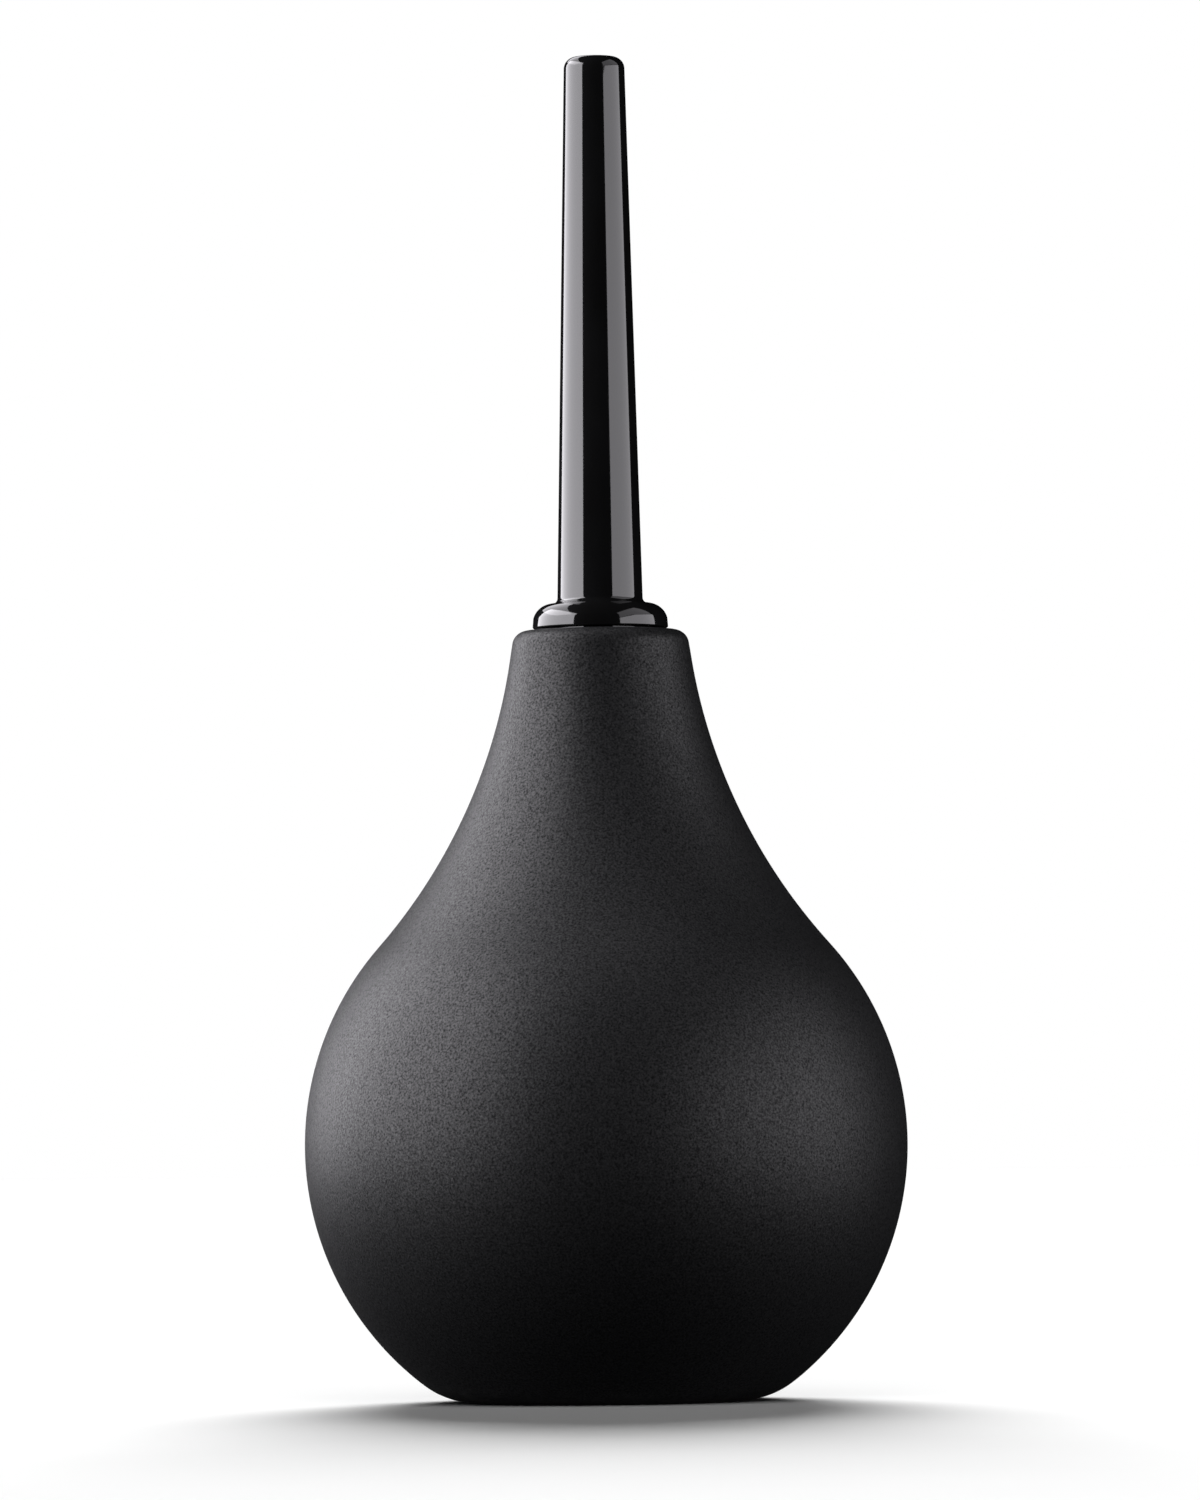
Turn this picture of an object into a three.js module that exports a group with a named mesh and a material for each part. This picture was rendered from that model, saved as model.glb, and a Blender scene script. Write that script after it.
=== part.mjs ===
// Dust blower bulb: a soft moulded rubber bulb that stands on a flat foot, a hard glossy nozzle
// pushed into its neck, and an air intake valve set into the middle of the foot.
// Millimetres, +Z up. The origin is the centre of the foot, on the surface it stands on.

import * as THREE from "three";

// ---------------------------------------------------------------- driving dimensions

const GAP = 0.3; // left between faces that touch on the real object
const BULB_SEGMENTS = 48; // facets round the bulb
const HARD_SEGMENTS = 40; // facets round the nozzle and the valve

// Bulb: a ball on a flat foot that flows into a flared neck.
const BALL_R = 40; // half of the largest width, 80 mm
const BALL_Z = 34; // height of the ball's centre
const FOOT_FILLET_R = 10.6; // rounds the ball into the flat foot
const FLARE_R = 74.7; // hollow curve from the ball up to the neck
const FLARE_START_DEG = 41.55; // where the ball ends, above its equator
const NECK_TOP_Z = 102.5;
const NECK_LIP_R = 1.9;
const WALL = 2.5;
const FLOOR = 4; // the foot is moulded thicker, to grip the valve
const SOCKET_R = 6.8; // straight hole in the neck for the spigot
const SOCKET_BOTTOM_Z = 82;
const SHOULDER_Z = 74; // the inside leaves the flare here and closes in to the socket

// Nozzle: one hard moulding of tube, flange and barbed spigot, with a tapered bore.
const TUBE_TOP_Z = 179.2;
const TUBE_ROOT_R = 5.68;
const TUBE_TIP_R = 4.06;
const TIP_CORNER_R = 1.6;
const FLANGE_R = 9.03;
const FLANGE_BAND = 1.35; // upright edge of the flange, below its dome
const FLANGE_HEIGHT = 3.3;
const DOME_R = 2.66;
const ROOT_FILLET_R = 0.75;
const SPIGOT_LENGTH = 22;
const SPIGOT_R = 5.7;
const BARB_R = 6.5;
const BARBS = 3;
const BARB_PITCH = 5.5;
const BARB_LENGTH = 3.4;
const LEAD_IN = 0.7; // the spigot's free end is this much smaller, to start it in the socket
const BORE_TIP_R = 1.9;
const BORE_ROOT_R = 3.6;

// Intake valve: a pressed-in housing with a seat, a poppet, a cage, a screen and a grille cap.
const RECESS = 0.6; // the valve sits this far above the standing surface
const HOUSING_FLANGE_R = 11;
const HOUSING_FLANGE = 1.3;
const SHANK_R = 7.5;
const HOUSING_BARB_R = 8.7;
const HOUSING_BARB = 2.2;
const HOUSING_TOP_Z = 9.9;
const POCKET_R = 6.3; // holds the grille cap and the screen, open downwards
const POCKET_TOP_Z = 2.9;
const CHAMBER_R = 5.7; // holds the poppet, open upwards
const CHAMBER_FLOOR_Z = 4.1;
const INLET_R = 3;
const SEAT_WIDTH = 0.7;
const SEAT_HEIGHT = 0.5;
const CAGE_GROOVE_R = 6.25;
const CAGE_Z = 8.3;
const CAGE = 0.9;
const POPPET_R = 4.5;
const POPPET = 1.1;
const STEM_R = 1;
const STEM_LENGTH = 4.2;
const SCREEN = 0.5;
const GRILLE = 1;

// ---------------------------------------------------------------- outlines and solids

const RAD = Math.PI / 180;
const point = (r, z) => new THREE.Vector2(r, z);

/** Points on a circular arc in the (radius, height) plane, both ends included. */
function arc(centre, radius, fromDeg, toDeg, steps) {
  return Array.from({ length: steps + 1 }, (_, i) => {
    const angle = (fromDeg + ((toDeg - fromDeg) * i) / steps) * RAD;
    return point(centre.x + radius * Math.cos(angle), centre.y + radius * Math.sin(angle));
  });
}

/** Turns a closed outline about +Z. The outline runs anticlockwise, radius to the right. */
function turned(outline, segments) {
  const geometry = new THREE.LatheGeometry([...outline, outline[0].clone()], segments);
  return geometry.rotateX(Math.PI / 2);
}

const axis = point(0, 0);

/** A round plate with holes through it, from height z upwards. */
function plate(radius, thickness, z, holes) {
  const shape = new THREE.Shape(arc(axis, radius, 0, 360, HARD_SEGMENTS).slice(1));
  shape.holes.push(...holes);
  const geometry = new THREE.ExtrudeGeometry(shape, { depth: thickness, bevelEnabled: false });
  return geometry.translate(0, 0, z);
}

/** A window in a plate: the part of a ring between two radii and two angles. */
function sector(innerR, outerR, fromDeg, toDeg, steps) {
  return new THREE.Path([
    ...arc(axis, outerR, fromDeg, toDeg, steps),
    ...arc(axis, innerR, toDeg, fromDeg, steps),
  ]);
}

function roundHole(centre, radius, steps) {
  return new THREE.Path(arc(centre, radius, 360, 0, steps).slice(1));
}

function part(name, geometry, color, roughness) {
  const material = new THREE.MeshStandardMaterial({ color, roughness, metalness: 0 });
  const mesh = new THREE.Mesh(geometry, material);
  mesh.name = name;
  return mesh;
}

// ---------------------------------------------------------------- bulb

const ballCentre = point(0, BALL_Z);
const flareCentre = point(
  (BALL_R + FLARE_R) * Math.cos(FLARE_START_DEG * RAD),
  BALL_Z + (BALL_R + FLARE_R) * Math.sin(FLARE_START_DEG * RAD),
);

/** The fillet that joins a flat floor to the inside of a ball about the ball's centre. */
function footFillet(ballR, filletR, floorZ) {
  const z = floorZ + filletR;
  const r = Math.sqrt((ballR - filletR) ** 2 - (BALL_Z - z) ** 2);
  return { centre: point(r, z), endDeg: Math.atan2(z - BALL_Z, r) / RAD };
}

/** Angle on the flare, about its centre, at a height. */
function flareDeg(radius, z) {
  return 180 + Math.asin((flareCentre.y - z) / radius) / RAD;
}

function bulb() {
  const foot = footFillet(BALL_R, FOOT_FILLET_R, 0);
  const lipZ = NECK_TOP_Z - NECK_LIP_R;
  const lipDeg = flareDeg(FLARE_R + NECK_LIP_R, lipZ);
  const lip = point(
    flareCentre.x + (FLARE_R + NECK_LIP_R) * Math.cos(lipDeg * RAD),
    lipZ,
  );
  const outside = [
    ...arc(foot.centre, FOOT_FILLET_R, -90, foot.endDeg, 4),
    ...arc(ballCentre, BALL_R, foot.endDeg, FLARE_START_DEG, 16).slice(1),
    ...arc(flareCentre, FLARE_R, 180 + FLARE_START_DEG, lipDeg, 10).slice(1),
    ...arc(lip, NECK_LIP_R, lipDeg - 180, 90, 5).slice(1),
  ];

  const innerR = BALL_R - WALL;
  const innerFlareR = FLARE_R + WALL;
  const floor = footFillet(innerR, FOOT_FILLET_R - WALL, FLOOR);
  const inside = [
    ...arc(flareCentre, innerFlareR, flareDeg(innerFlareR, SHOULDER_Z), 180 + FLARE_START_DEG, 4),
    ...arc(ballCentre, innerR, FLARE_START_DEG, floor.endDeg, 14).slice(1),
    ...arc(floor.centre, FOOT_FILLET_R - WALL, floor.endDeg, -90, 3).slice(1),
  ];

  const holeR = SHANK_R + GAP;
  const counterboreR = HOUSING_FLANGE_R + GAP;
  const counterboreZ = RECESS + HOUSING_FLANGE + GAP;
  return turned(
    [
      point(counterboreR, 0),
      ...outside,
      point(SOCKET_R, NECK_TOP_Z),
      point(SOCKET_R, SOCKET_BOTTOM_Z),
      ...inside,
      point(holeR, FLOOR),
      point(holeR, counterboreZ),
      point(counterboreR, counterboreZ),
    ],
    BULB_SEGMENTS,
  );
}

// ---------------------------------------------------------------- nozzle

const FLANGE_BOTTOM_Z = NECK_TOP_Z + GAP;
const SPIGOT_BOTTOM_Z = FLANGE_BOTTOM_Z - SPIGOT_LENGTH;

/** One barb of the spigot, from its sharp upper edge down to the spigot again. */
function barb(index) {
  const top = FLANGE_BOTTOM_Z - BARB_PITCH * index;
  return [point(SPIGOT_R, top - BARB_LENGTH), point(BARB_R, top), point(SPIGOT_R, top)];
}

function nozzle() {
  const flangeTopZ = FLANGE_BOTTOM_Z + FLANGE_HEIGHT;
  const bandTopZ = FLANGE_BOTTOM_Z + FLANGE_BAND;
  const domeZ = flangeTopZ - DOME_R;
  const domeStartDeg = Math.asin((bandTopZ - domeZ) / DOME_R) / RAD;
  const dome = point(FLANGE_R - DOME_R, domeZ);
  const fillet = point(TUBE_ROOT_R + ROOT_FILLET_R, flangeTopZ + ROOT_FILLET_R);
  const tip = point(TUBE_TIP_R - TIP_CORNER_R, TUBE_TOP_Z - TIP_CORNER_R);
  const barbs = Array.from({ length: BARBS }, (_, i) => barb(BARBS - i)).flat();
  return turned(
    [
      point(BORE_ROOT_R, SPIGOT_BOTTOM_Z),
      point(SPIGOT_R - LEAD_IN, SPIGOT_BOTTOM_Z),
      ...barbs,
      point(SPIGOT_R, FLANGE_BOTTOM_Z),
      point(FLANGE_R, FLANGE_BOTTOM_Z),
      ...arc(dome, DOME_R, domeStartDeg, 90, 7),
      ...arc(fillet, ROOT_FILLET_R, 270, 180, 4),
      ...arc(tip, TIP_CORNER_R, 0, 90, 5),
      point(BORE_TIP_R, TUBE_TOP_Z),
    ],
    HARD_SEGMENTS,
  );
}

// ---------------------------------------------------------------- intake valve

const CAP_Z = RECESS + 0.1;
const SCREEN_Z = CAP_Z + GRILLE + GAP;
const SEAT_TOP_Z = CHAMBER_FLOOR_Z + SEAT_HEIGHT;
const POPPET_Z = SEAT_TOP_Z + GAP;

function valveHousing() {
  const shankTopZ = FLOOR + GAP;
  const grooveBottomZ = CAGE_Z - GAP;
  const grooveTopZ = CAGE_Z + CAGE + GAP;
  const chamfer = 0.5;
  return turned(
    [
      point(POCKET_R, RECESS),
      point(HOUSING_FLANGE_R, RECESS),
      point(HOUSING_FLANGE_R, RECESS + HOUSING_FLANGE),
      point(SHANK_R, RECESS + HOUSING_FLANGE),
      point(SHANK_R, shankTopZ),
      point(HOUSING_BARB_R, shankTopZ),
      point(SHANK_R, shankTopZ + HOUSING_BARB),
      point(SHANK_R, HOUSING_TOP_Z - chamfer),
      point(SHANK_R - chamfer, HOUSING_TOP_Z),
      point(CHAMBER_R, HOUSING_TOP_Z),
      point(CHAMBER_R, grooveTopZ),
      point(CAGE_GROOVE_R, grooveTopZ),
      point(CAGE_GROOVE_R, grooveBottomZ),
      point(CHAMBER_R, grooveBottomZ),
      point(CHAMBER_R, CHAMBER_FLOOR_Z),
      point(INLET_R + SEAT_WIDTH, CHAMBER_FLOOR_Z),
      point(INLET_R + SEAT_WIDTH, SEAT_TOP_Z),
      point(INLET_R, SEAT_TOP_Z),
      point(INLET_R, POCKET_TOP_Z),
      point(POCKET_R, POCKET_TOP_Z),
    ],
    HARD_SEGMENTS,
  );
}

/** A disc that shuts on the seat, with a stem that slides in the cage. */
function valvePoppet() {
  const top = POPPET_Z + POPPET;
  const edge = 0.3;
  const outline = [
    point(0, POPPET_Z),
    point(POPPET_R - edge, POPPET_Z),
    point(POPPET_R, POPPET_Z + edge),
    point(POPPET_R, top - edge),
    point(POPPET_R - edge, top),
    point(STEM_R, top),
    point(STEM_R, top + STEM_LENGTH - edge),
    point(STEM_R - edge, top + STEM_LENGTH),
    point(0, top + STEM_LENGTH),
  ];
  return new THREE.LatheGeometry(outline, HARD_SEGMENTS).rotateX(Math.PI / 2);
}

/** A four-spoked spider that keeps the poppet in and guides its stem. */
function valveCage() {
  const spokes = 4;
  const hubR = 2.2;
  const rimR = 4.9;
  const windowDeg = 62;
  const windows = Array.from({ length: spokes }, (_, i) => {
    const middle = ((i + 0.5) * 360) / spokes;
    return sector(hubR, rimR, middle - windowDeg / 2, middle + windowDeg / 2, 8);
  });
  const guide = roundHole(axis, STEM_R + GAP, 16);
  return plate(CAGE_GROOVE_R - GAP, CAGE, CAGE_Z, [guide, ...windows]);
}

/** A dust screen: a thin disc with rings of small holes. */
function dustScreen() {
  const holeR = 0.36;
  const pitch = 1.15;
  const rings = 4;
  const centres = [axis];
  for (let ring = 1; ring <= rings; ring += 1) {
    centres.push(...arc(axis, ring * pitch, 0, 360, 6 * ring).slice(1));
  }
  const holes = centres.map((centre) => roundHole(centre, holeR, 6));
  return plate(POCKET_R - GAP, SCREEN, SCREEN_Z, holes);
}

/** The grille that closes the valve from below: eight slots round a plain middle. */
function grilleCap() {
  const slots = 8;
  const slotDeg = 24;
  const innerR = 2;
  const outerR = 4.9;
  const cuts = Array.from({ length: slots }, (_, i) => {
    const middle = (i * 360) / slots;
    return sector(innerR, outerR, middle - slotDeg / 2, middle + slotDeg / 2, 4);
  });
  return plate(POCKET_R - GAP, GRILLE, CAP_Z, cuts);
}

// ---------------------------------------------------------------- assembly

const RUBBER_BLACK = 0x242427;
const GLOSS_BLACK = 0x0a0a0b;
const PLASTIC_BLACK = 0x161618;
const SILICONE_GREY = 0x8f9194;
const STEEL = 0xb4b6b8;

const blower = new THREE.Group();
blower.add(
  part("bulb", bulb(), RUBBER_BLACK, 0.62),
  part("nozzle", nozzle(), GLOSS_BLACK, 0.08),
  part("valve_housing", valveHousing(), PLASTIC_BLACK, 0.4),
  part("valve_poppet", valvePoppet(), SILICONE_GREY, 0.5),
  part("valve_cage", valveCage(), PLASTIC_BLACK, 0.4),
  part("dust_screen", dustScreen(), STEEL, 0.35),
  part("grille_cap", grilleCap(), PLASTIC_BLACK, 0.4),
);

export default blower;
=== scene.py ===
import math

import bpy
import numpy as np
from mathutils import Euler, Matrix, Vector


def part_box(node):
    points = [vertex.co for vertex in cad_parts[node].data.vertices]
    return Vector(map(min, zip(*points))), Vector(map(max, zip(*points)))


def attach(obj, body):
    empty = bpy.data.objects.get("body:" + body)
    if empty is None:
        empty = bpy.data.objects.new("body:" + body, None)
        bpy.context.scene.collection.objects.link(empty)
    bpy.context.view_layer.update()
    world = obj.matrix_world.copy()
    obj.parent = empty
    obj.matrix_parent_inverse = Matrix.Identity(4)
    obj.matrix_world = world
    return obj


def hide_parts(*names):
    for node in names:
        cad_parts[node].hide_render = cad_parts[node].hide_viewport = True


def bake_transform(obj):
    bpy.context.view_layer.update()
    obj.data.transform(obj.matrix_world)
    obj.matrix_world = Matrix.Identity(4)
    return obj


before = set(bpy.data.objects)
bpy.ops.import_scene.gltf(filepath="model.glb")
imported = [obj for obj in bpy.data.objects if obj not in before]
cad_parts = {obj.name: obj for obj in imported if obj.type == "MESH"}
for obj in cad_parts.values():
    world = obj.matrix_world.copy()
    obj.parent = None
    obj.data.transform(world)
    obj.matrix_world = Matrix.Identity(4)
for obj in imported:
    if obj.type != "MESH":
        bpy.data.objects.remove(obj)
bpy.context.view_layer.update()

# Looks of the dust blower bulb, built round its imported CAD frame: a soft-touch rubber bulb, a
# polished nozzle and the intake valve in the foot. Metres, +Z up, like the frame.

MM = 0.001

bulb_low, bulb_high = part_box("bulb")
nozzle_low, nozzle_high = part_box("nozzle")
housing_low, housing_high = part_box("valve_housing")
cage_low, cage_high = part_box("valve_cage")
cap_low, cap_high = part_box("grille_cap")
poppet_low, poppet_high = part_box("valve_poppet")

# ------------------------------------------------------------------------------- outlines
# An outline is a list of (radius, height) points, anticlockwise with the radius to the right.


def arc(centre, radius, start_deg, end_deg, steps):
    """Points on a circular arc, both ends included."""
    angles = np.radians(np.linspace(start_deg, end_deg, steps + 1))
    return [(centre[0] + radius * math.cos(a), centre[1] + radius * math.sin(a)) for a in angles]


def line(start, end, steps):
    """Points along a straight stretch, both ends left out."""
    shares = np.linspace(0, 1, steps + 1)[1:-1]
    return [tuple(np.array(start) + share * (np.array(end) - np.array(start))) for share in shares]


def rounded(corners, steps=4):
    """A closed outline of (radius, height, edge radius) corners, with an arc at each edge."""
    points = []
    for i, (r, z, edge) in enumerate(corners):
        here = Vector((r, z))
        before = Vector(corners[i - 1][:2]) - here
        after = Vector(corners[(i + 1) % len(corners)][:2]) - here
        if not edge:
            points.append((r, z))
            continue
        half = before.angle(after) / 2
        reach = min(edge / math.tan(half), 0.45 * before.length, 0.45 * after.length)
        start, end = here + before.normalized() * reach, here + after.normalized() * reach
        for k in range(steps + 1):
            t = k / steps
            blend = start * (1 - t) ** 2 + here * 2 * t * (1 - t) + end * t**2
            points.append(tuple(blend))
    return points


# ------------------------------------------------------------------------------- meshes


def new_object(name, vertices, faces, crease_deg):
    """A smooth mesh object whose edges stay sharp where its faces turn by more than crease_deg."""
    mesh = bpy.data.meshes.new(name)
    mesh.from_pydata(vertices, [], faces)
    mesh.validate()
    mesh.shade_smooth()
    mesh.set_sharp_from_angle(angle=math.radians(crease_deg))
    made = bpy.data.objects.new(name, mesh)
    bpy.context.scene.collection.objects.link(made)
    return made


def even_columns(count):
    """The same count of even angles at every radius."""
    angles = np.linspace(0, 2 * math.pi, count, endpoint=False)
    return lambda radius: angles


def ring_faces(low, high):
    """Faces between two rings of vertex numbers; a ring of one vertex is a point on the axis."""
    count = max(len(low), len(high))
    faces = []
    for i in range(count):
        j = (i + 1) % count
        if len(low) == 1:
            faces.append((low[0], high[j], high[i]))
        elif len(high) == 1:
            faces.append((low[i], low[j], high[0]))
        else:
            faces.append((low[i], low[j], high[j], high[i]))
    return faces


def turned(name, outline, angles_at, crease_deg=35, closed=True):
    """Turns an outline about +Z, with a column of vertices at each angle of angles_at(radius)."""
    vertices, rings = [], []
    for r, z in outline:
        angles = angles_at(r) if r > 0 else [0.0]
        rings.append(list(range(len(vertices), len(vertices) + len(angles))))
        vertices += [(r * math.cos(a), r * math.sin(a), z) for a in angles]
    pairs = list(zip(rings, rings[1:]))
    if closed:
        pairs.append((rings[-1], rings[0]))
    faces = [face for low, high in pairs for face in ring_faces(low, high)]
    return new_object(name, vertices, faces, crease_deg)


# ------------------------------------------------------------------------------- materials


class Nodes:
    """The node tree of one material, with short calls for the nodes that the materials share."""

    def __init__(self, name):
        self.material = bpy.data.materials.new(name)
        self.material.use_nodes = True
        self.tree = self.material.node_tree
        self.shader = self.tree.nodes["Principled BSDF"]
        self.place = self.tree.nodes.new("ShaderNodeTexCoord").outputs["Object"]

    def add(self, kind, inputs=(), **settings):
        """Adds a node, with values or links for its inputs and settings for its properties."""
        node = self.tree.nodes.new("ShaderNode" + kind)
        for key, value in settings.items():
            setattr(node, key, value)
        for key, value in dict(inputs).items():
            self.plug(node.inputs[key], value)
        return node

    def plug(self, socket, value):
        """Links a socket to an output, or gives it a value."""
        if isinstance(value, bpy.types.NodeSocket):
            self.tree.links.new(value, socket)
        else:
            socket.default_value = value

    def surface(self, **values):
        """Sets sockets of the shader: base_color=..., roughness=... and so on."""
        for key, value in values.items():
            self.plug(self.shader.inputs[key.replace("_", " ").title().replace("Ior", "IOR")], value)

    def noise(self, size, detail=2, roughness=0.5, stretch=(1, 1, 1), shift=0):
        """Noise between 0 and 1 whose lumps are about size metres across."""
        mapping = self.add("Mapping", {"Vector": self.place, "Scale": stretch})
        mapping.inputs["Location"].default_value = (shift, shift, shift)
        sockets = {"Vector": mapping.outputs[0], "Scale": 1 / size}
        sockets.update({"Detail": detail, "Roughness": roughness})
        return self.add("TexNoise", sockets).outputs["Fac"]

    def spread(self, value, low, high, to_low=0.0, to_high=1.0):
        """Stretches low..high of a value to to_low..to_high, and cuts it off there."""
        sockets = {"Value": value, "From Min": low, "From Max": high}
        sockets.update({"To Min": to_low, "To Max": to_high})
        return self.add("MapRange", sockets).outputs[0]

    def math(self, operation, first, second=0.0):
        node = self.add("Math", operation=operation)
        self.plug(node.inputs[0], first)
        self.plug(node.inputs[1], second)
        return node.outputs[0]

    def mix(self, share, first, second):
        """Mixes two colours."""
        node = self.add("Mix", data_type="RGBA")
        self.plug(node.inputs["Factor"], share)
        self.plug(node.inputs["A"], first)
        self.plug(node.inputs["B"], second)
        return node.outputs["Result"]

    def height(self):
        """Height above the surface that the object stands on."""
        return self.add("SeparateXYZ", {"Vector": self.place}).outputs["Z"]

    def bump(self, height, distance, strength=1.0, normal=None):
        """Raises the surface by height times distance metres."""
        sockets = {"Height": height, "Distance": distance, "Strength": strength}
        if normal is not None:
            sockets["Normal"] = normal
        return self.add("Bump", sockets).outputs[0]


def grey(value, warmth=0.0):
    """A grey that leans to red (above 0) or blue (below 0)."""
    return (value * (1 + warmth), value, value * (1 - warmth), 1)


def bulb_rubber():
    """Soft-touch black rubber: a fine even grain, faint mottling, and pale rubbing at the foot."""
    nodes = Nodes("soft_touch_rubber")
    speckle = nodes.noise(0.28 * MM, detail=2, roughness=0.6)
    mottle = nodes.noise(9 * MM, detail=4, shift=0.3)
    patches = nodes.noise(38 * MM, detail=2, shift=0.7)
    base = nodes.mix(nodes.spread(speckle, 0.3, 0.7), grey(0.006, -0.05), grey(0.013, -0.05))
    base = nodes.mix(nodes.spread(mottle, 0.3, 0.7, 0.0, 0.25), base, grey(0.012, 0.01))
    low = nodes.spread(nodes.height(), 0.4 * MM, 2.6 * MM, 1.0, 0.0)
    rubbed = nodes.math("MULTIPLY", low, nodes.spread(nodes.noise(2.2 * MM, detail=5), 0.45, 0.7))
    base = nodes.mix(nodes.math("MULTIPLY", rubbed, 0.5), base, grey(0.045, 0.02))
    roughness = nodes.spread(patches, 0.3, 0.7, 0.48, 0.52)
    sheen = nodes.spread(speckle, 0.3, 0.7, 0.06, 0.62)
    grain = nodes.bump(nodes.noise(0.34 * MM, detail=2, roughness=0.55, shift=0.1), 0.12 * MM, 0.3)
    grain = nodes.bump(nodes.noise(3.2 * MM, detail=2, shift=0.5), 0.08 * MM, 0.12, grain)
    nodes.surface(base_color=base, roughness=roughness, normal=grain)
    nodes.surface(ior=1.5, specular_ior_level=sheen)
    return nodes.material


def nozzle_gloss():
    """Polished black plastic: a soft long ripple, faint drag marks and a few handling smears."""
    nodes = Nodes("polished_black")
    ripple = nodes.noise(7 * MM, detail=1, stretch=(1, 1, 0.35))
    marks = nodes.noise(0.5 * MM, detail=3, stretch=(1, 1, 0.03), shift=0.4)
    smear = nodes.noise(6 * MM, detail=4, stretch=(1, 1, 0.5), shift=0.9)
    base = nodes.mix(nodes.spread(smear, 0.35, 0.75), grey(0.0035), grey(0.0055, -0.03))
    roughness = nodes.math(
        "ADD",
        nodes.spread(smear, 0.45, 0.75, 0.05, 0.085),
        nodes.spread(marks, 0.55, 0.8, 0.0, 0.02),
    )
    normal = nodes.bump(ripple, 0.02 * MM, 0.35)
    normal = nodes.bump(marks, 0.001 * MM, 0.2, normal)
    nodes.surface(base_color=base, roughness=roughness, normal=normal, ior=1.5)
    return nodes.material


def valve_plastic():
    """Satin black plastic with a spark-eroded skin, with paler specks in it."""
    nodes = Nodes("satin_black")
    skin = nodes.noise(0.16 * MM, detail=3, roughness=0.65)
    mottle = nodes.noise(3.5 * MM, detail=3, shift=0.2)
    base = nodes.mix(nodes.spread(mottle, 0.3, 0.7), grey(0.011), grey(0.017, 0.02))
    base = nodes.mix(nodes.spread(skin, 0.6, 0.8, 0.0, 0.35), base, grey(0.03))
    roughness = nodes.spread(mottle, 0.3, 0.7, 0.36, 0.46)
    nodes.surface(base_color=base, roughness=roughness, normal=nodes.bump(skin, 0.04 * MM, 0.5))
    return nodes.material


def poppet_silicone():
    """Grey silicone: cloudy, satin, with light let into its skin."""
    nodes = Nodes("grey_silicone")
    cloud = nodes.noise(1.8 * MM, detail=4)
    dust = nodes.noise(0.12 * MM, detail=2, shift=0.6)
    base = nodes.mix(nodes.spread(cloud, 0.3, 0.7), grey(0.30, -0.01), grey(0.38, 0.01))
    base = nodes.mix(nodes.spread(dust, 0.68, 0.8, 0.0, 0.5), base, grey(0.5))
    roughness = nodes.spread(cloud, 0.3, 0.7, 0.42, 0.52)
    nodes.surface(base_color=base, roughness=roughness, normal=nodes.bump(dust, 0.02 * MM, 0.4))
    nodes.surface(subsurface_weight=0.15, subsurface_scale=0.6 * MM)
    return nodes.material


def screen_steel():
    """Rolled stainless sheet: fine lines one way, darker in its rolled-in specks."""
    nodes = Nodes("rolled_steel")
    lines = nodes.noise(0.10 * MM, detail=2, stretch=(0.04, 1, 1))
    specks = nodes.noise(0.35 * MM, detail=3, shift=0.8)
    base = nodes.mix(nodes.spread(lines, 0.3, 0.7), grey(0.48, 0.01), grey(0.60, -0.01))
    base = nodes.mix(nodes.spread(specks, 0.62, 0.75, 0.0, 0.5), base, grey(0.25, 0.03))
    roughness = nodes.spread(lines, 0.3, 0.7, 0.26, 0.38)
    nodes.surface(base_color=base, roughness=roughness, normal=nodes.bump(lines, 0.01 * MM, 0.4))
    nodes.surface(metallic=1.0)
    return nodes.material


MATERIALS = {
    "bulb_rubber": bulb_rubber(),
    "nozzle_gloss": nozzle_gloss(),
    "valve_plastic": valve_plastic(),
    "poppet_silicone": poppet_silicone(),
    "screen_steel": screen_steel(),
}


def finished(piece, slot, body, node):
    """Gives a piece its material and, if one is named, its body, and hides the CAD node that it
    stands for.
    """
    piece.data.materials.append(MATERIALS[slot])
    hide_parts(node)
    if body:
        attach(piece, body)
    return piece


# ------------------------------------------------------------------------------- bulb

BALL_R = bulb_high.x
BALL_Z = 34 * MM
NECK_TOP = bulb_high.z
FOOT_FILLET_R = 10.6 * MM
FLARE_R = 74.7 * MM
FLARE_START_DEG = 41.55
NECK_LIP_R = 1.9 * MM
WALL = 2.5 * MM
FLOOR = 4 * MM
SOCKET_R = 6.8 * MM
SOCKET_BOTTOM = 82 * MM
SHOULDER = 74 * MM
VALVE_HOLE_R = 7.8 * MM
COUNTERBORE_R = housing_high.x + 0.3 * MM
COUNTERBORE_TOP = 2.2 * MM
EDGE_R = 0.35 * MM  # on the edges of the foot and the socket
PARTING_HEIGHT = 0.09 * MM  # of the mould's parting line, a low ridge down each side
PARTING_WIDTH = 0.28 * MM
PARTING_FADE = 3 * MM  # it dies away over this height at the foot and at the neck's lip

BALL_CENTRE = (0, BALL_Z)
FLARE_REACH = BALL_R + FLARE_R
FLARE_CENTRE = (
    FLARE_REACH * math.cos(math.radians(FLARE_START_DEG)),
    BALL_Z + FLARE_REACH * math.sin(math.radians(FLARE_START_DEG)),
)


def foot_fillet(ball_r, fillet_r, floor_z):
    """Centre and end angle of the arc that joins a flat floor to the inside of a ball."""
    z = floor_z + fillet_r
    r = math.sqrt((ball_r - fillet_r) ** 2 - (BALL_Z - z) ** 2)
    return (r, z), math.degrees(math.atan2(z - BALL_Z, r))


def flare_deg(radius, z):
    """Angle on the flare, about its centre, at a height."""
    return 180 + math.degrees(math.asin((FLARE_CENTRE[1] - z) / radius))


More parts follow.
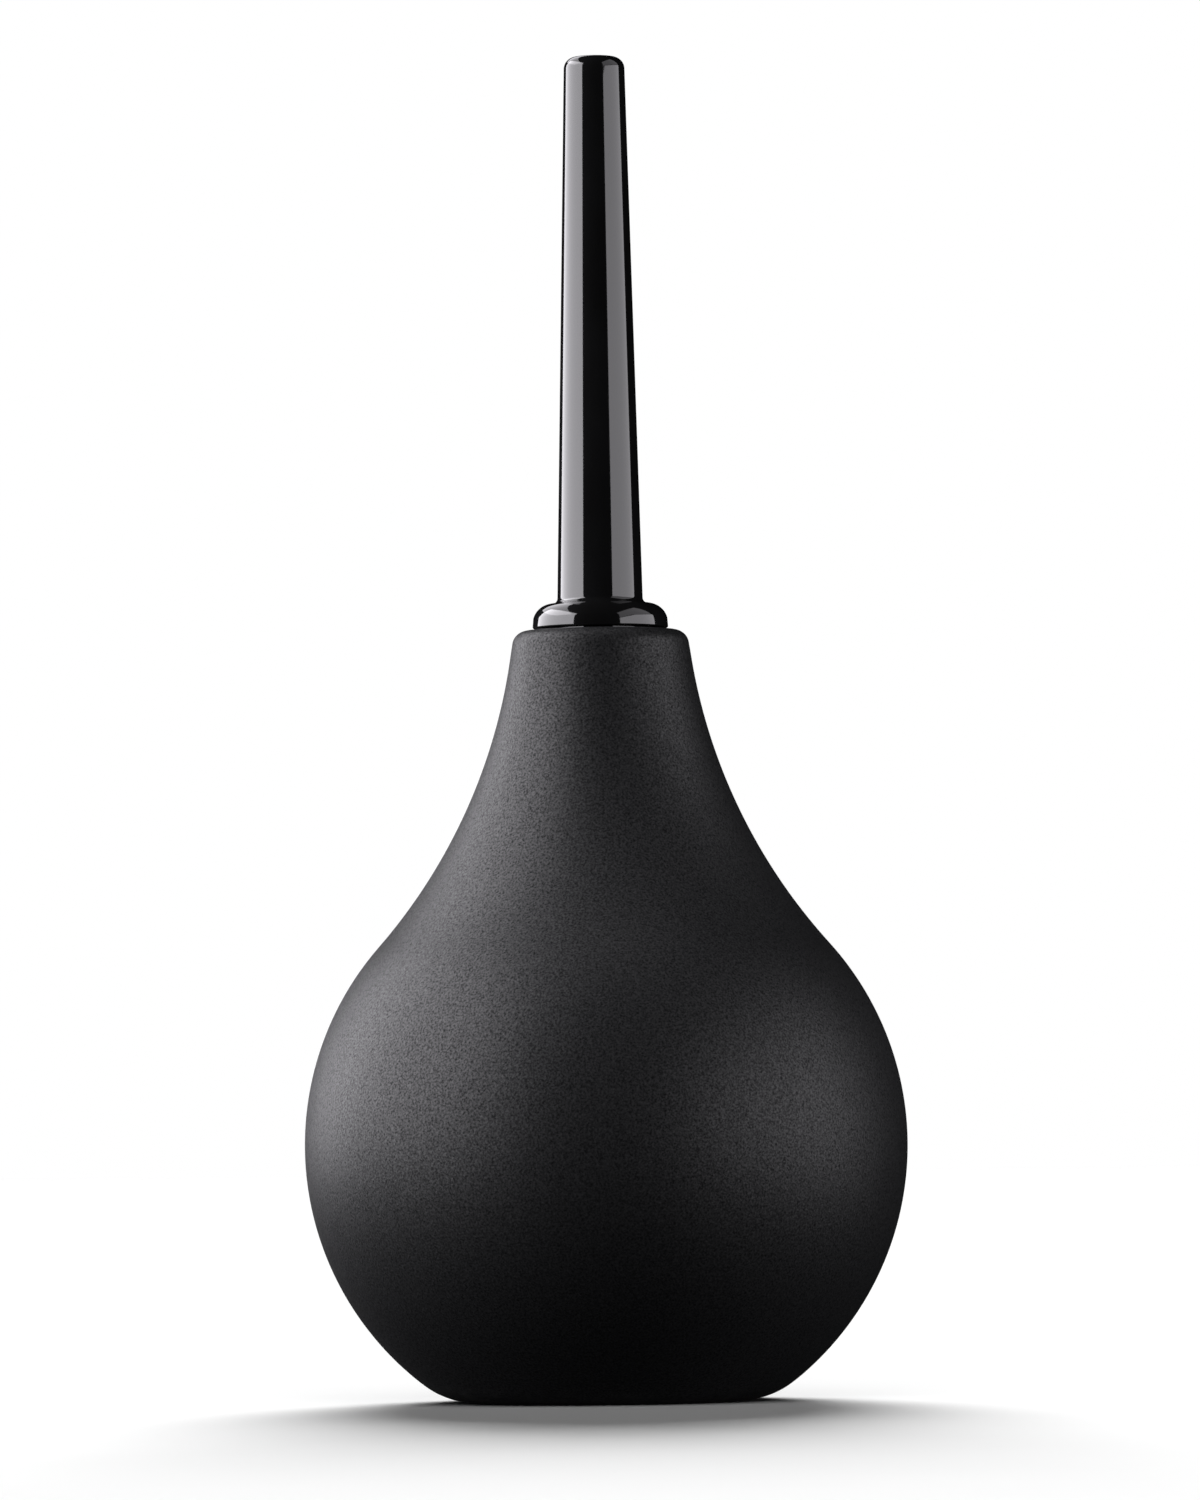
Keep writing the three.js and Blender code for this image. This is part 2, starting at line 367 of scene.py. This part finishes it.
def bulb_outside():
    """From the flat of the foot up to the top of the neck's lip."""
    fillet, fillet_end = foot_fillet(BALL_R, FOOT_FILLET_R, bulb_low.z)
    lip_z = NECK_TOP - NECK_LIP_R
    lip_deg = flare_deg(FLARE_R + NECK_LIP_R, lip_z)
    lip_r = FLARE_CENTRE[0] + (FLARE_R + NECK_LIP_R) * math.cos(math.radians(lip_deg))
    return (
        arc(fillet, FOOT_FILLET_R, -90, fillet_end, 14)
        + arc(BALL_CENTRE, BALL_R, fillet_end, FLARE_START_DEG, 64)[1:]
        + arc(FLARE_CENTRE, FLARE_R, 180 + FLARE_START_DEG, lip_deg, 48)[1:]
        + arc((lip_r, lip_z), NECK_LIP_R, lip_deg - 180, 90, 10)[1:]
    )


def bulb_inside():
    """From the neck's socket down through the air chamber to the hole in the foot."""
    inner_r = BALL_R - WALL
    inner_flare = FLARE_R + WALL
    fillet_r = FOOT_FILLET_R - WALL
    fillet, fillet_end = foot_fillet(inner_r, fillet_r, FLOOR)
    shoulder_deg = flare_deg(inner_flare, SHOULDER)
    mouth = arc((SOCKET_R + EDGE_R, NECK_TOP - EDGE_R), EDGE_R, 90, 180, 4)
    return (
        mouth
        + line(mouth[-1], (SOCKET_R, SOCKET_BOTTOM), 6)
        + [(SOCKET_R, SOCKET_BOTTOM)]
        + arc(FLARE_CENTRE, inner_flare, shoulder_deg, 180 + FLARE_START_DEG, 12)
        + arc(BALL_CENTRE, inner_r, FLARE_START_DEG, fillet_end, 40)[1:]
        + arc(fillet, fillet_r, fillet_end, -90, 8)[1:]
        + [(VALVE_HOLE_R, FLOOR), (VALVE_HOLE_R, COUNTERBORE_TOP), (COUNTERBORE_R, COUNTERBORE_TOP)]
        + arc((COUNTERBORE_R + EDGE_R, bulb_low.z + EDGE_R), EDGE_R, 180, 270, 4)
    )


def parting_columns(radius):
    """Even angles, with close ones across the parting line at +X and at -X."""
    ridge = np.array([-1.0, -0.7, -0.45, -0.22, 0, 0.22, 0.45, 0.7, 1.0]) * 2 * PARTING_WIDTH
    ridge_angles = ridge / radius
    between = np.linspace(ridge_angles[-1], math.pi + ridge_angles[0], 98)[1:-1]
    half = np.concatenate([ridge_angles, between])
    return np.concatenate([half, half + math.pi])


def raise_parting_line(piece):
    """Lifts the outer skin along the parting plane, Y = 0, into a low rounded ridge."""
    outside = len(bulb_outside()) * len(parting_columns(BALL_R))
    vertices = piece.data.vertices[:outside]
    normals = [vertex.normal.copy() for vertex in vertices]
    for vertex, normal in zip(vertices, normals):
        end = min(vertex.co.z - bulb_low.z, NECK_TOP - vertex.co.z)
        fade = min(1.0, end / PARTING_FADE)
        lift = fade * PARTING_HEIGHT * math.exp(-((vertex.co.y / (0.6 * PARTING_WIDTH)) ** 2))
        vertex.co += normal * lift


def bulb():
    """The one rubber moulding between the neck and the foot, built in its rest shape."""
    piece = turned("bulb_skin", bulb_outside() + bulb_inside(), parting_columns, crease_deg=40)
    raise_parting_line(piece)
    finished(piece, "bulb_rubber", None, "bulb")
    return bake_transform(piece)


# ------------------------------------------------------------------------------- nozzle

TUBE_ROOT_R = 5.68 * MM
TUBE_TIP_R = 4.06 * MM
TIP_CORNER_R = 1.6 * MM
FLANGE_R = nozzle_high.x
FLANGE_BOTTOM = NECK_TOP + 0.3 * MM
FLANGE_BAND = 1.35 * MM
FLANGE_HEIGHT = 3.3 * MM
FLANGE_EDGE_R = 0.2 * MM
DOME_R = 2.66 * MM
ROOT_FILLET_R = 0.75 * MM
SPIGOT_R = 5.7 * MM
SPIGOT_LEAD_IN = 0.7 * MM
BARB_R = 6.5 * MM
BARBS = 3
BARB_PITCH = 5.5 * MM
BARB_LENGTH = 3.4 * MM
BORE_TIP_R = 1.9 * MM
BORE_ROOT_R = 3.6 * MM
MOUTH_EDGE_R = 0.3 * MM


def nozzle_spigot():
    """From the bore's lower mouth up the barbs to the underside of the flange."""
    bottom = nozzle_low.z
    corners = [(BORE_ROOT_R, bottom, 0.2 * MM), (SPIGOT_R - SPIGOT_LEAD_IN, bottom, 0.3 * MM)]
    for index in range(BARBS, 0, -1):
        top = FLANGE_BOTTOM - BARB_PITCH * index
        corners += [(SPIGOT_R, top - BARB_LENGTH, 0), (BARB_R, top, 0.12 * MM), (SPIGOT_R, top, 0)]
    corners.append((SPIGOT_R, FLANGE_BOTTOM, 0))
    return rounded(corners + [(BORE_ROOT_R, FLANGE_BOTTOM, 0)])[:-1]


def nozzle():
    """The hard moulding: spigot, flange with a domed top, tapered tube and bore."""
    flange_top = FLANGE_BOTTOM + FLANGE_HEIGHT
    dome_z = flange_top - DOME_R
    dome_start = math.degrees(math.asin((FLANGE_BAND - FLANGE_HEIGHT + DOME_R) / DOME_R))
    dome = arc((FLANGE_R - DOME_R, dome_z), DOME_R, dome_start, 90, 20)
    root = (TUBE_ROOT_R + ROOT_FILLET_R, flange_top + ROOT_FILLET_R)
    tip = (TUBE_TIP_R - TIP_CORNER_R, nozzle_high.z - TIP_CORNER_R)
    root_arc = arc(root, ROOT_FILLET_R, 270, 180, 12)
    tip_arc = arc(tip, TIP_CORNER_R, 0, 90, 14)
    flange_edge = (FLANGE_R - FLANGE_EDGE_R, FLANGE_BOTTOM + FLANGE_EDGE_R)
    mouth_edge = (BORE_TIP_R + MOUTH_EDGE_R, nozzle_high.z - MOUTH_EDGE_R)
    mouth = arc(mouth_edge, MOUTH_EDGE_R, 90, 180, 5)
    outline = (
        nozzle_spigot()
        + arc(flange_edge, FLANGE_EDGE_R, -90, 0, 4)
        + dome
        + root_arc
        + line(root_arc[-1], tip_arc[0], 48)
        + tip_arc
        + mouth
        + line(mouth[-1], (BORE_ROOT_R, nozzle_low.z), 12)
    )
    piece = turned("nozzle_skin", outline, even_columns(144), crease_deg=28)
    return finished(piece, "nozzle_gloss", "nozzle", "nozzle")


# ------------------------------------------------------------------------------- intake valve

HUB_R = 2 * MM  # of the grille's closed middle
SPIDER_HUB_R = 2.2 * MM
STEM_HOLE_R = 1.3 * MM
WINDOW_OUTER_R = 4.9 * MM
PLATE_STEP_DEG = 4  # between the columns of a plate


def valve_housing():
    """The housing turned from its corners, each moulded edge with its own radius."""
    base, top = housing_low.z, housing_high.z
    flange_r, shank_r, barb_r = housing_high.x, 7.5 * MM, 8.7 * MM
    flange_top = base + 1.3 * MM
    barb_z = FLOOR + 0.3 * MM
    pocket_r, pocket_top = 6.3 * MM, 2.9 * MM
    chamber_r, chamber_floor = 5.7 * MM, 4.1 * MM
    groove_r, groove_low, groove_high = 6.25 * MM, cage_low.z - 0.3 * MM, cage_high.z + 0.3 * MM
    inlet_r, seat_r, seat_top = 3 * MM, 3.7 * MM, 4.6 * MM
    big, small = 0.35 * MM, 0.12 * MM
    corners = [
        (pocket_r, base, small), (flange_r, base, big), (flange_r, flange_top, big),
        (shank_r, flange_top, small), (shank_r, barb_z, small), (barb_r, barb_z, small),
        (shank_r, barb_z + 2.2 * MM, small), (shank_r, top, 0.5 * MM), (chamber_r, top, small),
        (chamber_r, groove_high, small), (groove_r, groove_high, 0), (groove_r, groove_low, 0),
        (chamber_r, groove_low, small), (chamber_r, chamber_floor, small),
        (seat_r, chamber_floor, small), (seat_r, seat_top, small), (inlet_r, seat_top, small),
        (inlet_r, pocket_top, small), (pocket_r, pocket_top, small),
    ]
    piece = turned("housing_shell", rounded(corners), even_columns(120), crease_deg=38)
    return finished(piece, "valve_plastic", "intake_valve", "valve_housing")


def poppet():
    """A silicone disc and stem, with every edge rounded."""
    disc_r, disc_top, stem_r = poppet_high.x, poppet_low.z + 1.1 * MM, 1 * MM
    corners = [
        (0, poppet_low.z, 0), (disc_r, poppet_low.z, 0.4 * MM), (disc_r, disc_top, 0.4 * MM),
        (stem_r, disc_top, 0.25 * MM), (stem_r, poppet_high.z, 0.45 * MM), (0, poppet_high.z, 0),
    ]
    piece = turned("poppet_disc", rounded(corners, steps=6), even_columns(96), closed=False)
    return finished(piece, "poppet_silicone", "poppet", "valve_poppet")


def plate_faces(rings, columns, hole, is_open):
    """Faces of a round plate on a polar grid, with walls round the cells that is_open tells of.

    Vertices are numbered by level (0 below, 1 above), then by radius, then by column. The
    middle is a hole, or it is closed.
    """
    faces = []

    def at(level, ring, column):
        return (level * (rings + 1) + ring) * columns + column % columns

    def is_gap(ring, column):
        if ring < 0:
            return hole
        return ring == rings or is_open(ring, column % columns)

    if not hole:
        faces.append([at(1, 0, k) for k in range(columns)])
        faces.append([at(0, 0, k) for k in reversed(range(columns))])
    for ring in range(rings):
        for k in range(columns):
            if is_gap(ring, k):
                continue
            around = [(ring, k), (ring + 1, k), (ring + 1, k + 1), (ring, k + 1)]
            neighbours = [(ring, k - 1), (ring + 1, k), (ring, k + 1), (ring - 1, k)]
            faces.append([at(1, *corner) for corner in around])
            faces.append([at(0, *corner) for corner in reversed(around)])
            for side, neighbour in enumerate(neighbours):
                start, end = around[side], around[(side + 1) % 4]
                if is_gap(*neighbour):
                    faces.append([at(0, *start), at(0, *end), at(1, *end), at(1, *start)])
    return faces


def windowed_plate(name, radii, low_z, high_z, windows, hole, edge):
    """A round plate of radii[3], with even windows between radii[1] and radii[2].

    windows is their number, the angle of the first one's middle, and their width. radii[0] is
    the hole in the middle, or a ring on the plate if there is none.
    """
    count, first_deg, width_deg = windows
    pitch_deg = 360 / count
    window_steps = round(width_deg / PLATE_STEP_DEG)
    solid_steps = round((pitch_deg - width_deg) / PLATE_STEP_DEG)
    window = np.linspace(-width_deg / 2, width_deg / 2, window_steps + 1)[:-1]
    solid = np.linspace(width_deg / 2, pitch_deg - width_deg / 2, solid_steps + 1)[:-1]
    middles = first_deg + np.arange(count)[:, None] * pitch_deg
    angles = np.radians((middles + np.concatenate([window, solid])).ravel())
    vertices = [
        (r * math.cos(a), r * math.sin(a), z)
        for z in (low_z, high_z)
        for r in radii
        for a in angles
    ]

    def is_open(ring, column):
        return ring == 1 and column % (window_steps + solid_steps) < window_steps

    faces = plate_faces(len(radii) - 1, len(angles), hole, is_open)
    made = new_object(name, vertices, faces, 180)
    bevel = made.modifiers.new("edges", "BEVEL")
    bevel.width = edge
    bevel.segments = 3
    bevel.limit_method = "ANGLE"
    bevel.angle_limit = math.radians(40)
    made.modifiers.new("normals", "WEIGHTED_NORMAL")
    return made


def valve_cage():
    """The four-spoked spider round the poppet's stem."""
    radii = [STEM_HOLE_R, SPIDER_HUB_R, WINDOW_OUTER_R, cage_high.x]
    windows, edge = (4, 45, 62), 0.12 * MM
    piece = windowed_plate("cage_spider", radii, cage_low.z, cage_high.z, windows, True, edge)
    return finished(piece, "valve_plastic", "intake_valve", "valve_cage")


def grille_cap():
    """The cap with its eight slots."""
    radii = [HUB_R / 2, HUB_R, WINDOW_OUTER_R, cap_high.x]
    windows, edge = (8, 0, 24), 0.15 * MM
    piece = windowed_plate("grille_disc", radii, cap_low.z, cap_high.z, windows, False, edge)
    return finished(piece, "valve_plastic", "intake_valve", "grille_cap")


def dust_screen():
    """The CAD screen itself, in steel."""
    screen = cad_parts["dust_screen"]
    screen.data.materials.clear()
    screen.data.materials.append(MATERIALS["screen_steel"])
    return screen


# ------------------------------------------------------------------------------- studio

CAMERA_DISTANCE = 1.27
CAMERA_HEIGHT = 36.5 * MM
CAMERA_AIM = Vector((-0.24 * MM, 0, 86.56 * MM))
CAMERA_LENS = 229
CAMERA_ROLL_DEG = -0.65
FLOOR_SIZE = 12
SOFTBOX_COLOUR = (1.0, 0.98, 1.03)


def camera():
    """A long lens, low and straight in front."""
    data = bpy.data.cameras.new("camera")
    data.lens = CAMERA_LENS
    data.clip_start, data.clip_end = 0.05, 50
    made = bpy.data.objects.new("camera", data)
    bpy.context.scene.collection.objects.link(made)
    made.location = (CAMERA_AIM.x, -CAMERA_DISTANCE, CAMERA_HEIGHT)
    look = (CAMERA_AIM - made.location).to_track_quat("-Z", "Y")
    made.rotation_mode = "QUATERNION"
    made.rotation_quaternion = look @ Euler((0, 0, math.radians(CAMERA_ROLL_DEG))).to_quaternion()
    bpy.context.scene.camera = made


def collection(name, objects):
    """A collection outside the scene, for the lights to be limited to."""
    made = bpy.data.collections.new(name)
    for member in objects:
        made.objects.link(member)
    return made


def softbox(name, centre, facing, size, radiance, lit, turn_deg=0):
    """A rectangular light of even brightness that lights only the objects in lit."""
    data = bpy.data.lights.new(name, "AREA")
    data.shape = "RECTANGLE"
    data.size, data.size_y = size
    data.color = SOFTBOX_COLOUR
    data.energy = radiance * math.pi * size[0] * size[1]
    made = bpy.data.objects.new(name, data)
    bpy.context.scene.collection.objects.link(made)
    made.location = centre
    made.rotation_mode = "QUATERNION"
    turn = Euler((0, 0, math.radians(turn_deg))).to_quaternion()
    made.rotation_quaternion = Vector(facing).to_track_quat("-Z", "Y") @ turn
    made.visible_camera = False
    made.light_linking.receiver_collection = lit


def sun(name, elevation_deg, spread_deg, strength, lit):
    """Even light from a round patch of sky behind the object; past 90 degrees it is in front."""
    data = bpy.data.lights.new(name, "SUN")
    data.angle = math.radians(spread_deg)
    data.energy = strength
    made = bpy.data.objects.new(name, data)
    bpy.context.scene.collection.objects.link(made)
    elevation = math.radians(elevation_deg)
    made.rotation_mode = "QUATERNION"
    towards = Vector((0, -math.cos(elevation), -math.sin(elevation)))
    made.rotation_quaternion = towards.to_track_quat("-Z", "Y")
    made.light_linking.receiver_collection = lit


def floor():
    """A plain pale floor that throws no light back onto the object."""
    half = FLOOR_SIZE / 2
    corners = [(-half, -half, 0), (half, -half, 0), (half, half, 0), (-half, half, 0)]
    made = new_object("floor", corners, [(0, 1, 2, 3)], 30)
    nodes = Nodes("floor_white")
    grain = nodes.noise(0.05, detail=3)
    nodes.surface(base_color=nodes.mix(grain, grey(0.90), grey(0.92)), roughness=0.7)
    nodes.surface(specular_ior_level=0.0)
    clear = nodes.add("BsdfTransparent")
    below = nodes.add("NewGeometry").outputs["Backfacing"]
    shown = nodes.add("MixShader", {0: below, 1: nodes.shader.outputs[0], 2: clear.outputs[0]})
    output = nodes.tree.nodes["Material Output"]
    nodes.tree.links.new(shown.outputs[0], output.inputs["Surface"])
    made.data.materials.append(nodes.material)
    made.visible_diffuse = False
    made.visible_glossy = False
    made.visible_shadow = False
    return made


def backdrop():
    """A white background that the object doesn't mirror."""
    world = bpy.data.worlds.new("world")
    world.use_nodes = True
    world.node_tree.nodes["Background"].inputs["Color"].default_value = (1, 1, 1, 1)
    world.cycles_visibility.diffuse = False
    world.cycles_visibility.glossy = False
    world.cycles_visibility.transmission = False
    bpy.context.scene.world = world


def studio(bulb_pieces, nozzle_pieces, valve_pieces):
    """A key from the left and a fill from the right, set apart for matte and for gloss."""
    ground = floor()
    matte = collection("lit_matte", bulb_pieces + valve_pieces)
    gloss = collection("lit_gloss", nozzle_pieces)
    valve = collection("lit_valve", valve_pieces)
    on_floor = collection("lit_floor", [ground])
    left, right, down, up = (1, 0, 0), (-1, 0, 0), (0, 0, -1), (0, 0, 1)
    softbox("key", (-0.45, 0.075, 0.43), left, (1.01, 0.84), 4.3, matte)
    softbox("fill", (0.5, -0.3, 0.17), right, (0.884, 0.42), 2.15, matte)
    softbox("top", (0, -0.1, 0.75), down, (0.6, 0.6), 0.6, matte)
    softbox("key_gloss", (-0.45, 0.0, 0.32), left, (0.86, 0.56), 6.9, gloss)
    softbox("fill_gloss", (0.5, -0.3, 0.16), right, (0.884, 0.32), 3.5, gloss)
    softbox("key_over", (-0.73, 0.327, 0.75), down, (0.8, 1.6), 3.2, gloss, turn_deg=-30)
    softbox("fill_over", (0.5, -0.3, 0.62), right, (0.884, 0.56), 1.2, gloss)
    softbox("under", (0, 0.25, -0.4), up, (0.5, 0.5), 0.03, matte)
    softbox("under_valve", (0, 0, -0.4), up, (0.8, 0.8), 2.5, valve)
    sun("floor_low", 20, 25, 3.2, on_floor)
    sun("floor_middle", 30, 30, 3.9, on_floor)
    sun("floor_front", 135, 50, 0.75, on_floor)
    backdrop()
    camera()
    view = bpy.context.scene.view_settings
    view.view_transform = "Standard"
    view.look = "None"


# ------------------------------------------------------------------------------- assembly

valve_pieces = [valve_housing(), poppet(), valve_cage(), grille_cap(), dust_screen()]
studio([bulb()], [nozzle()], valve_pieces)
